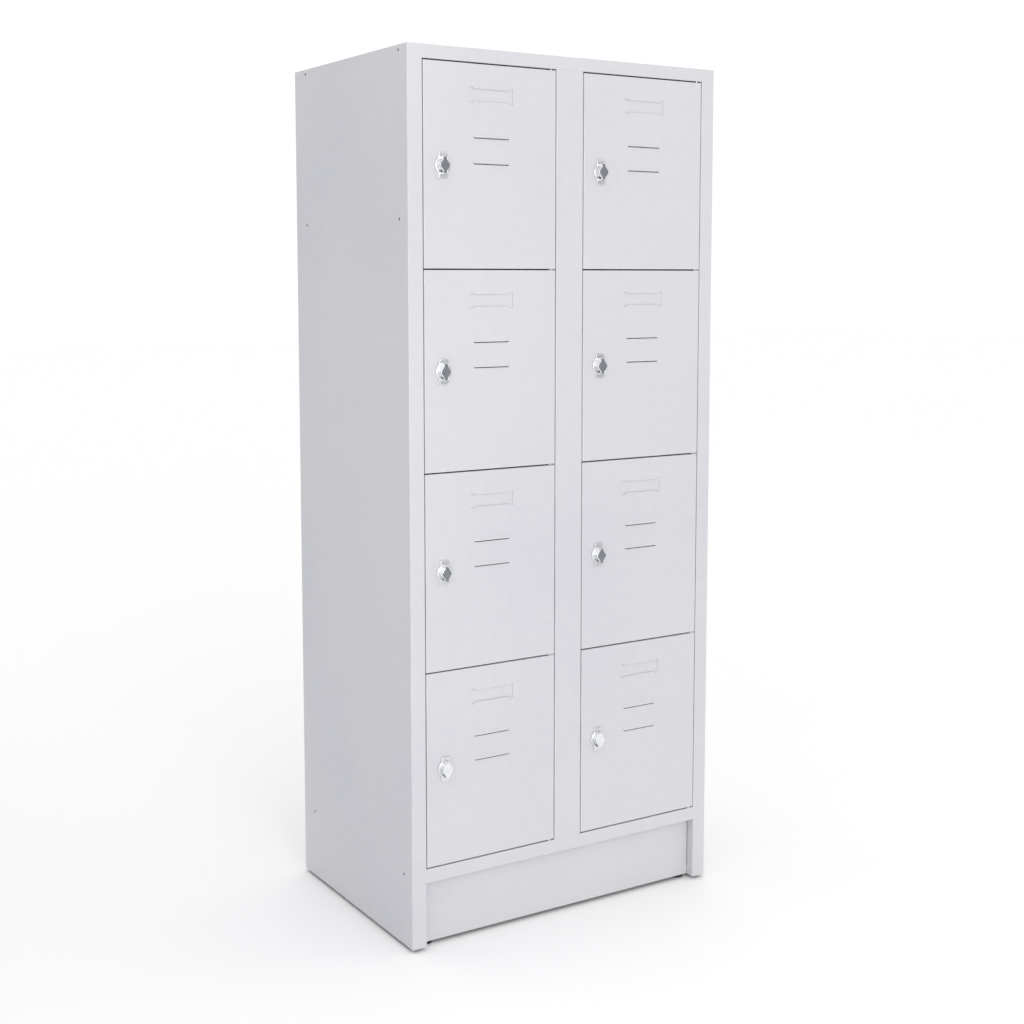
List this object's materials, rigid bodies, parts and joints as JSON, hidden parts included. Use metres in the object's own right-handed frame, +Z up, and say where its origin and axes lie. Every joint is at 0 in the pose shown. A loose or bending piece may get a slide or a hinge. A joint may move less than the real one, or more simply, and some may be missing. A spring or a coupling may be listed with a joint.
{
  "type": "compartment locker",
  "caption": "Tall sheet-steel locker with two columns of louvred compartment doors, padlockable turn latches, a recessed plinth and levelling feet.",
  "frame": {"origin": "on the floor, at the middle of the overall box in X and Y", "axes": "+Z up, +X to the right seen from the front, doors facing -Y"},
  "size_m": [0.8, 0.563, 1.92],
  "materials": {
    "powder_coat": "light grey powder coat, satin, fine orange peel",
    "chrome": "chrome-plated die casting",
    "zinc_steel": "bright zinc-plated steel",
    "rubber": "black rubber, matt"
  },
  "bodies": {
    "carcass": {"side_panel_left": "powder_coat", "side_panel_right": "powder_coat", "centre_stile": "powder_coat", "centre_partition": "powder_coat", "top_panel": "powder_coat", "bottom_panel": "powder_coat", "back_panel": "powder_coat", "shelves": "powder_coat", "plinth_panel": "powder_coat", "foot_brackets": "zinc_steel", "latch_strikes": "zinc_steel", "hinge_brackets": "zinc_steel", "hinge_pins": "zinc_steel", "door_buffers": "rubber"},
    "levelling_foot_1": {"foot_1": "rubber"},
    "levelling_foot_2": {"foot_2": "rubber"},
    "levelling_foot_3": {"foot_3": "rubber"},
    "levelling_foot_4": {"foot_4": "rubber"},
    "leaf_1": {"door_1": "powder_coat", "rosette_1": "chrome", "lock_nut_1": "zinc_steel"},
    "latch_1": {"knob_1": "chrome", "cam_1": "zinc_steel"},
    "leaf_2": {"door_2": "powder_coat", "rosette_2": "chrome", "lock_nut_2": "zinc_steel"},
    "latch_2": {"knob_2": "chrome", "cam_2": "zinc_steel"},
    "leaf_3": {"door_3": "powder_coat", "rosette_3": "chrome", "lock_nut_3": "zinc_steel"},
    "latch_3": {"knob_3": "chrome", "cam_3": "zinc_steel"},
    "leaf_4": {"door_4": "powder_coat", "rosette_4": "chrome", "lock_nut_4": "zinc_steel"},
    "latch_4": {"knob_4": "chrome", "cam_4": "zinc_steel"},
    "leaf_5": {"door_5": "powder_coat", "rosette_5": "chrome", "lock_nut_5": "zinc_steel"},
    "latch_5": {"knob_5": "chrome", "cam_5": "zinc_steel"},
    "leaf_6": {"door_6": "powder_coat", "rosette_6": "chrome", "lock_nut_6": "zinc_steel"},
    "latch_6": {"knob_6": "chrome", "cam_6": "zinc_steel"},
    "leaf_7": {"door_7": "powder_coat", "rosette_7": "chrome", "lock_nut_7": "zinc_steel"},
    "latch_7": {"knob_7": "chrome", "cam_7": "zinc_steel"},
    "leaf_8": {"door_8": "powder_coat", "rosette_8": "chrome", "lock_nut_8": "zinc_steel"},
    "latch_8": {"knob_8": "chrome", "cam_8": "zinc_steel"}
  },
  "joints": [
    {"name": "foot_1_screw", "type": "slide", "parent": "carcass", "child": "levelling_foot_1", "axis": [0, 0, -1], "range_m": [0, 0.02]},
    {"name": "foot_2_screw", "type": "slide", "parent": "carcass", "child": "levelling_foot_2", "axis": [0, 0, -1], "range_m": [0, 0.02]},
    {"name": "foot_3_screw", "type": "slide", "parent": "carcass", "child": "levelling_foot_3", "axis": [0, 0, -1], "range_m": [0, 0.02]},
    {"name": "foot_4_screw", "type": "slide", "parent": "carcass", "child": "levelling_foot_4", "axis": [0, 0, -1], "range_m": [0, 0.02]},
    {"name": "door_1_hinge", "type": "hinge", "parent": "carcass", "child": "leaf_1", "pos_m": [-0.047, -0.2625, 1.6765], "axis": [0, 0, 1], "range_deg": [0, 110]},
    {"name": "latch_1_turn", "type": "hinge", "parent": "leaf_1", "child": "latch_1", "pos_m": [-0.318, -0.2685, 1.6765], "axis": [0, 1, 0], "range_deg": [0, 90]},
    {"name": "door_2_hinge", "type": "hinge", "parent": "carcass", "child": "leaf_2", "pos_m": [-0.047, -0.2625, 1.2495], "axis": [0, 0, 1], "range_deg": [0, 110]},
    {"name": "latch_2_turn", "type": "hinge", "parent": "leaf_2", "child": "latch_2", "pos_m": [-0.318, -0.2685, 1.2495], "axis": [0, 1, 0], "range_deg": [0, 90]},
    {"name": "door_3_hinge", "type": "hinge", "parent": "carcass", "child": "leaf_3", "pos_m": [-0.047, -0.2625, 0.8225], "axis": [0, 0, 1], "range_deg": [0, 110]},
    {"name": "latch_3_turn", "type": "hinge", "parent": "leaf_3", "child": "latch_3", "pos_m": [-0.318, -0.2685, 0.8225], "axis": [0, 1, 0], "range_deg": [0, 90]},
    {"name": "door_4_hinge", "type": "hinge", "parent": "carcass", "child": "leaf_4", "pos_m": [-0.047, -0.2625, 0.3955], "axis": [0, 0, 1], "range_deg": [0, 110]},
    {"name": "latch_4_turn", "type": "hinge", "parent": "leaf_4", "child": "latch_4", "pos_m": [-0.318, -0.2685, 0.3955], "axis": [0, 1, 0], "range_deg": [0, 90]},
    {"name": "door_5_hinge", "type": "hinge", "parent": "carcass", "child": "leaf_5", "pos_m": [0.353, -0.2625, 1.6765], "axis": [0, 0, 1], "range_deg": [0, 110]},
    {"name": "latch_5_turn", "type": "hinge", "parent": "leaf_5", "child": "latch_5", "pos_m": [0.082, -0.2685, 1.6765], "axis": [0, 1, 0], "range_deg": [0, 90]},
    {"name": "door_6_hinge", "type": "hinge", "parent": "carcass", "child": "leaf_6", "pos_m": [0.353, -0.2625, 1.2495], "axis": [0, 0, 1], "range_deg": [0, 110]},
    {"name": "latch_6_turn", "type": "hinge", "parent": "leaf_6", "child": "latch_6", "pos_m": [0.082, -0.2685, 1.2495], "axis": [0, 1, 0], "range_deg": [0, 90]},
    {"name": "door_7_hinge", "type": "hinge", "parent": "carcass", "child": "leaf_7", "pos_m": [0.353, -0.2625, 0.8225], "axis": [0, 0, 1], "range_deg": [0, 110]},
    {"name": "latch_7_turn", "type": "hinge", "parent": "leaf_7", "child": "latch_7", "pos_m": [0.082, -0.2685, 0.8225], "axis": [0, 1, 0], "range_deg": [0, 90]},
    {"name": "door_8_hinge", "type": "hinge", "parent": "carcass", "child": "leaf_8", "pos_m": [0.353, -0.2625, 0.3955], "axis": [0, 0, 1], "range_deg": [0, 110]},
    {"name": "latch_8_turn", "type": "hinge", "parent": "leaf_8", "child": "latch_8", "pos_m": [0.082, -0.2685, 0.3955], "axis": [0, 1, 0], "range_deg": [0, 90]}
  ]
}
